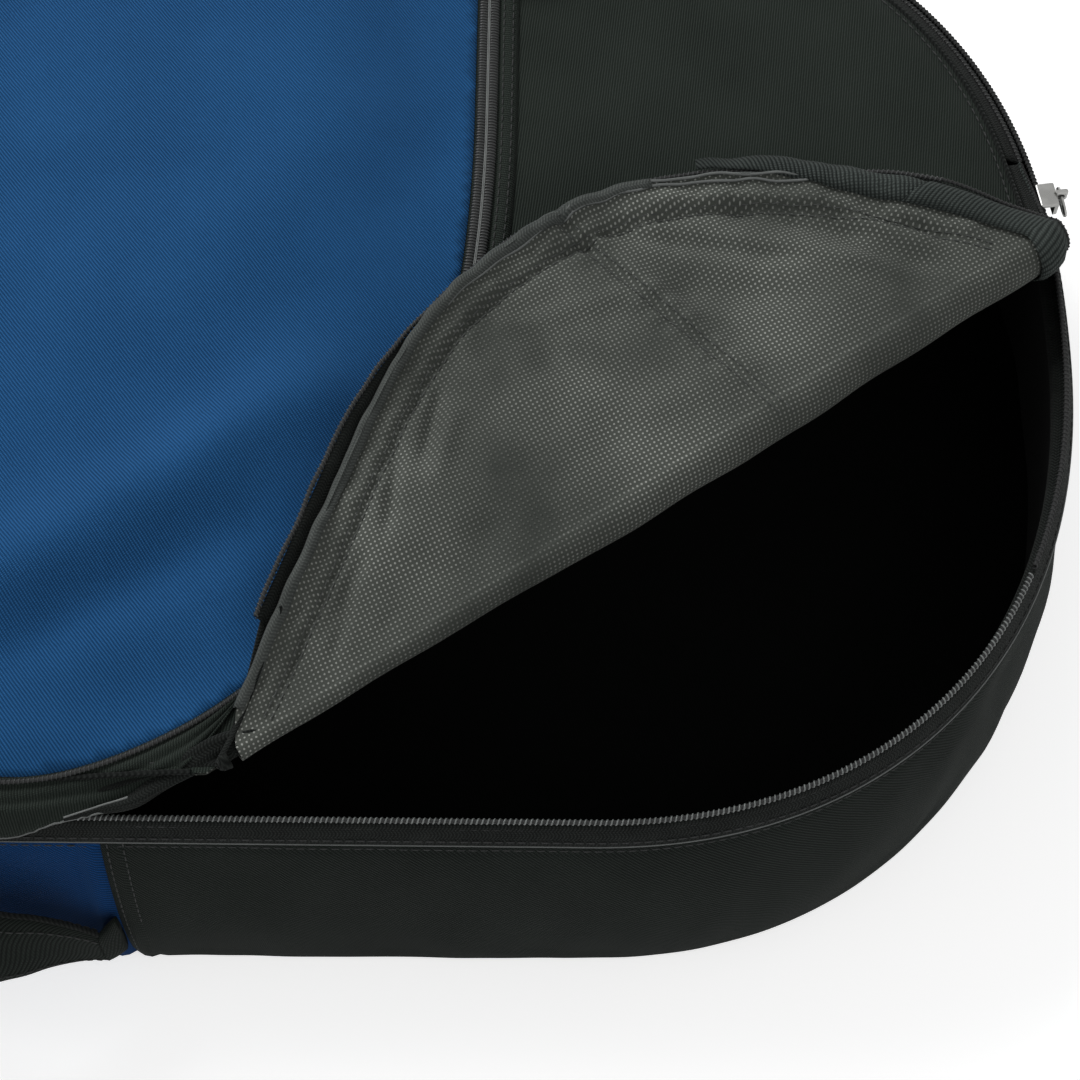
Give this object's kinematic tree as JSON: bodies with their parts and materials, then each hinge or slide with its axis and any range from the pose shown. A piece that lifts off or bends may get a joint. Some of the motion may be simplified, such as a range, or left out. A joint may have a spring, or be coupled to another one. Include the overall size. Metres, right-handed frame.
{
  "type": "guitar gig bag",
  "caption": "Padded soft guitar case lying on its back, with a zipped lid, an opened tail corner folded back, a front pocket, side handle, hang loop and shoulder straps.",
  "frame": {"origin": "middle of the bag's bounding box, on the floor that its back lies on", "axes": "+X from the head end to the tail end, -Y towards the side with the carry handle, +Z from the back to the lid"},
  "size_m": [1.1536, 0.4908, 0.1518],
  "materials": {
    "black_polyester": "fine twill weave, matt",
    "blue_polyester": "fine diagonal weave, matt",
    "dimpled_lining": "charcoal lining with rows of fine light dots",
    "black_lining": "soft black lining, matt",
    "grey_foam": "closed-cell padding, hidden inside",
    "zipper_tape": "woven twill tape",
    "nylon_coil": "moulded coil",
    "chromed_zinc": "polished",
    "black_lacquered_zinc": "satin lacquer",
    "black_webbing": "ribbed webbing",
    "black_acetal": "moulded"
  },
  "bodies": {
    "bag": {"gusset_shell_tail": "black_polyester", "gusset_shell_head": "black_polyester", "gusset_accent_near": "blue_polyester", "gusset_accent_far": "blue_polyester", "gusset_foam_near": "grey_foam", "gusset_foam_far": "grey_foam", "gusset_lining_near": "black_lining", "gusset_lining_far": "black_lining", "back_shell": "black_polyester", "back_foam": "grey_foam", "back_lining": "black_lining", "gusset_zip_tape": "zipper_tape", "gusset_zip_coil": "nylon_coil", "head_seam_binding": "zipper_tape", "handle_tab_tail": "black_webbing", "handle_tab_head": "black_webbing", "strap_pad_left": "black_polyester", "strap_pad_right": "black_polyester", "strap_web_left": "black_webbing", "strap_web_right": "black_webbing", "strap_anchor_left": "black_webbing", "strap_anchor_right": "black_webbing", "strap_yoke_left": "black_webbing", "strap_yoke_right": "black_webbing"},
    "lid": {"lid_shell": "black_polyester", "lid_foam": "grey_foam", "lid_lining": "dimpled_lining", "lid_zip_tape_near": "zipper_tape", "lid_zip_tape_far": "zipper_tape", "lid_zip_coil_near": "nylon_coil", "lid_zip_coil_far": "nylon_coil", "lid_head_binding": "zipper_tape", "pocket_panel": "blue_polyester", "pocket_zip_tape": "zipper_tape", "pocket_zip_coil": "nylon_coil", "corner_roll": "dimpled_lining"},
    "corner": {"flap_shell": "black_polyester", "flap_foam": "grey_foam", "flap_lining": "dimpled_lining", "flap_zip_tape": "zipper_tape", "flap_zip_coil": "nylon_coil"},
    "near_slider": {"near_slider": "black_lacquered_zinc"},
    "near_pull": {"near_pull": "black_lacquered_zinc"},
    "tail_slider": {"tail_slider": "chromed_zinc"},
    "tail_pull": {"tail_pull": "chromed_zinc"},
    "pocket_slider": {"pocket_slider": "black_lacquered_zinc"},
    "pocket_pull": {"pocket_pull": "black_lacquered_zinc"},
    "side_handle": {"side_handle": "black_polyester"},
    "hang_loop": {"hang_loop": "black_webbing"},
    "adjuster_left": {"strap_adjuster_left": "black_acetal"},
    "adjuster_right": {"strap_adjuster_right": "black_acetal"}
  },
  "joints": [
    {"name": "lid_hinge", "type": "hinge", "parent": "bag", "child": "lid", "pos_m": [-0.52014, 0.01546, 0.118], "axis": [0, -1, 0], "range_deg": [0, 100]},
    {"name": "corner_fold", "type": "hinge", "parent": "lid", "child": "corner", "pos_m": [0.26636, -0.16854, 0.1355], "axis": [0.8087, 0.5882, 0], "range_deg": [0, 182.1], "deforming": ["corner_roll"]},
    {"name": "near_slide", "type": "slide", "parent": "bag", "child": "near_slider", "axis": [1, 0, 0], "range_m": [-0.075, 0.21]},
    {"name": "near_pull_swing", "type": "hinge", "parent": "near_slider", "child": "near_pull", "pos_m": [0.1446, -0.20692, 0.1211], "axis": [-1, 0, 0], "range_deg": [0, 150]},
    {"name": "tail_slide", "type": "slide", "parent": "bag", "child": "tail_slider", "axis": [-0.1582, 0.9874, 0], "range_m": [-0.03, 0.03]},
    {"name": "tail_pull_swing", "type": "hinge", "parent": "tail_slider", "child": "tail_pull", "pos_m": [0.56547, 0.07178, 0.1211], "axis": [0.1582, -0.9874, 0], "range_deg": [0, 150]},
    {"name": "pocket_slide", "type": "slide", "parent": "lid", "child": "pocket_slider", "axis": [0, 1, 0], "range_m": [-0.065, 0.015]},
    {"name": "pocket_pull_swing", "type": "hinge", "parent": "pocket_slider", "child": "pocket_pull", "pos_m": [0.33336, 0.17046, 0.1379], "axis": [0, -1, 0], "range_deg": [0, 170]},
    {"name": "handle_swing", "type": "hinge", "parent": "bag", "child": "side_handle", "pos_m": [0.12986, -0.22178, 0.043], "axis": [1, 0, 0], "range_deg": [0, 22]},
    {"name": "hang_loop_swing", "type": "hinge", "parent": "bag", "child": "hang_loop", "pos_m": [-0.53569, 0.01546, 0.062], "axis": [0, 1, 0], "range_deg": [0, 60]},
    {"name": "adjuster_slide_left", "type": "slide", "parent": "bag", "child": "adjuster_left", "axis": [0.995, -0.0995, 0], "range_m": [-0.045, 0.008]},
    {"name": "adjuster_slide_right", "type": "slide", "parent": "bag", "child": "adjuster_right", "axis": [0.995, 0.0995, 0], "range_m": [-0.045, 0.008]}
  ]
}
